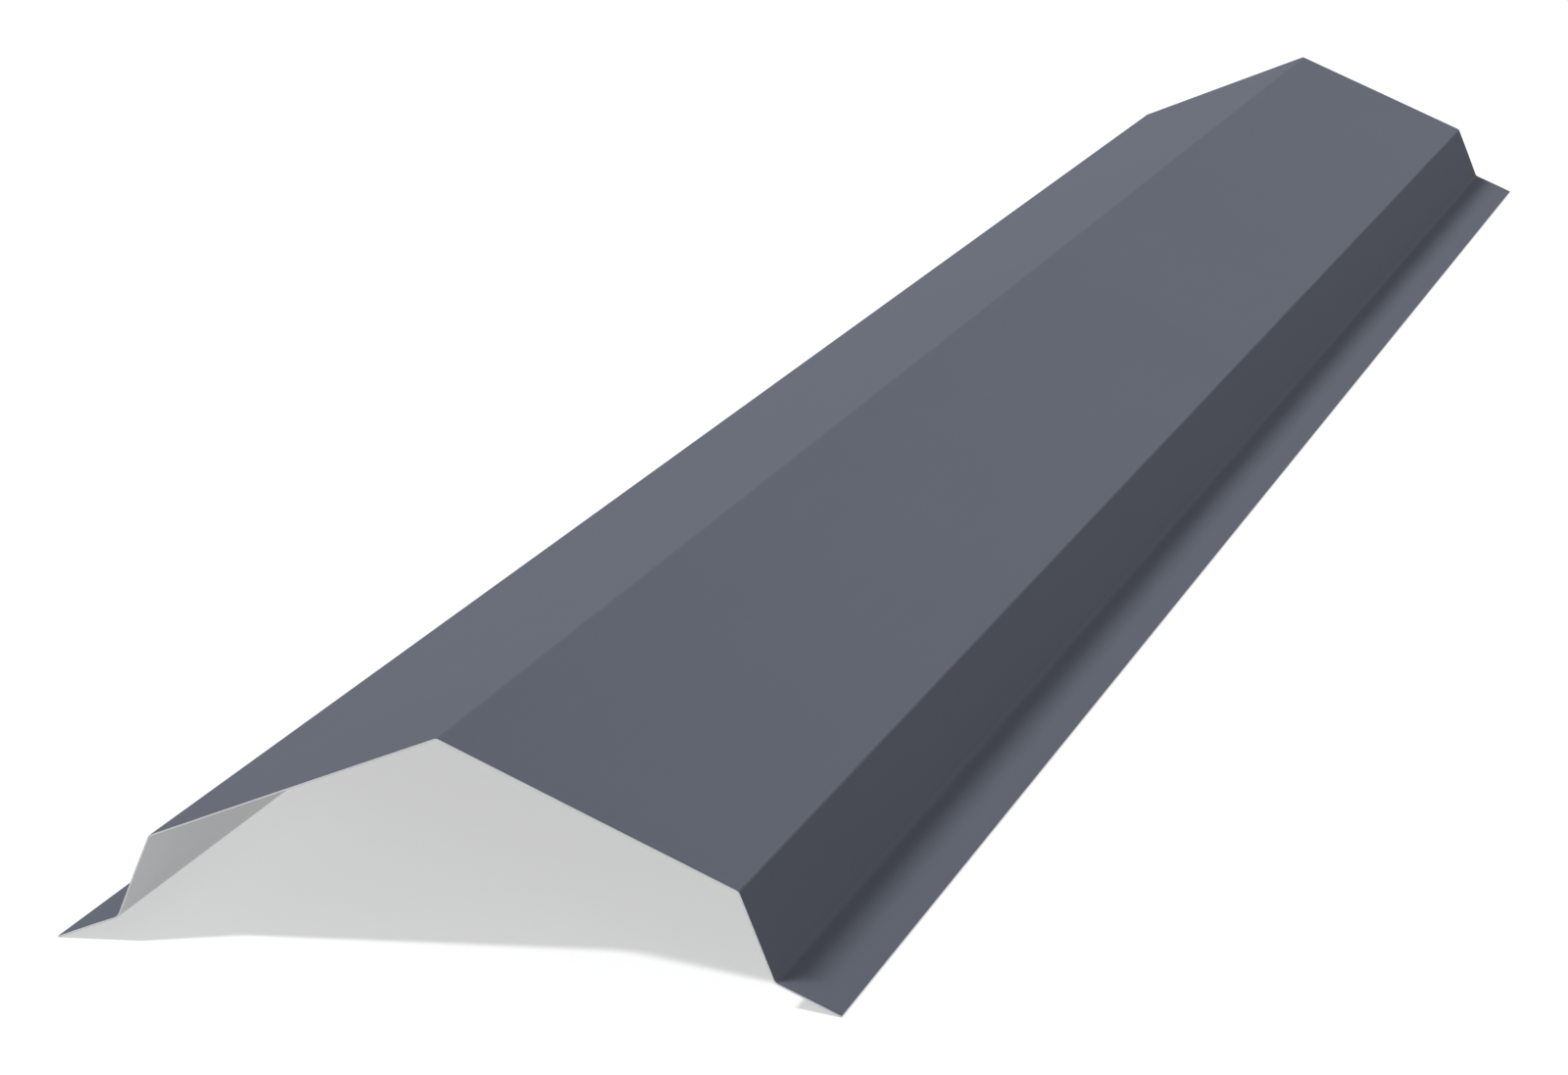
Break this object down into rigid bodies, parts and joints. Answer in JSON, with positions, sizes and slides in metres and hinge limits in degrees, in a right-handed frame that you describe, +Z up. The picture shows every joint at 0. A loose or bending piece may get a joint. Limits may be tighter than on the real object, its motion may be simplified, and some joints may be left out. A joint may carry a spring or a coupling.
{
  "type": "roof ridge cap",
  "caption": "Folded sheet-steel cap with two slopes, short risers and out-turned flanges, which covers the joint along the ridge of a metal roof.",
  "frame": {"origin": "middle of the cap's plan, at the height of the lower flange edges that it stands on", "axes": "+Z up, +Y along the ridge line, +X across the cap"},
  "size_m": [0.3428, 2, 0.1021],
  "materials": {
    "painted_sheet": "satin graphite grey coil coating outside, light grey back coat inside"
  },
  "bodies": {
    "root": {"ridge_cap": "painted_sheet"}
  },
  "joints": []
}
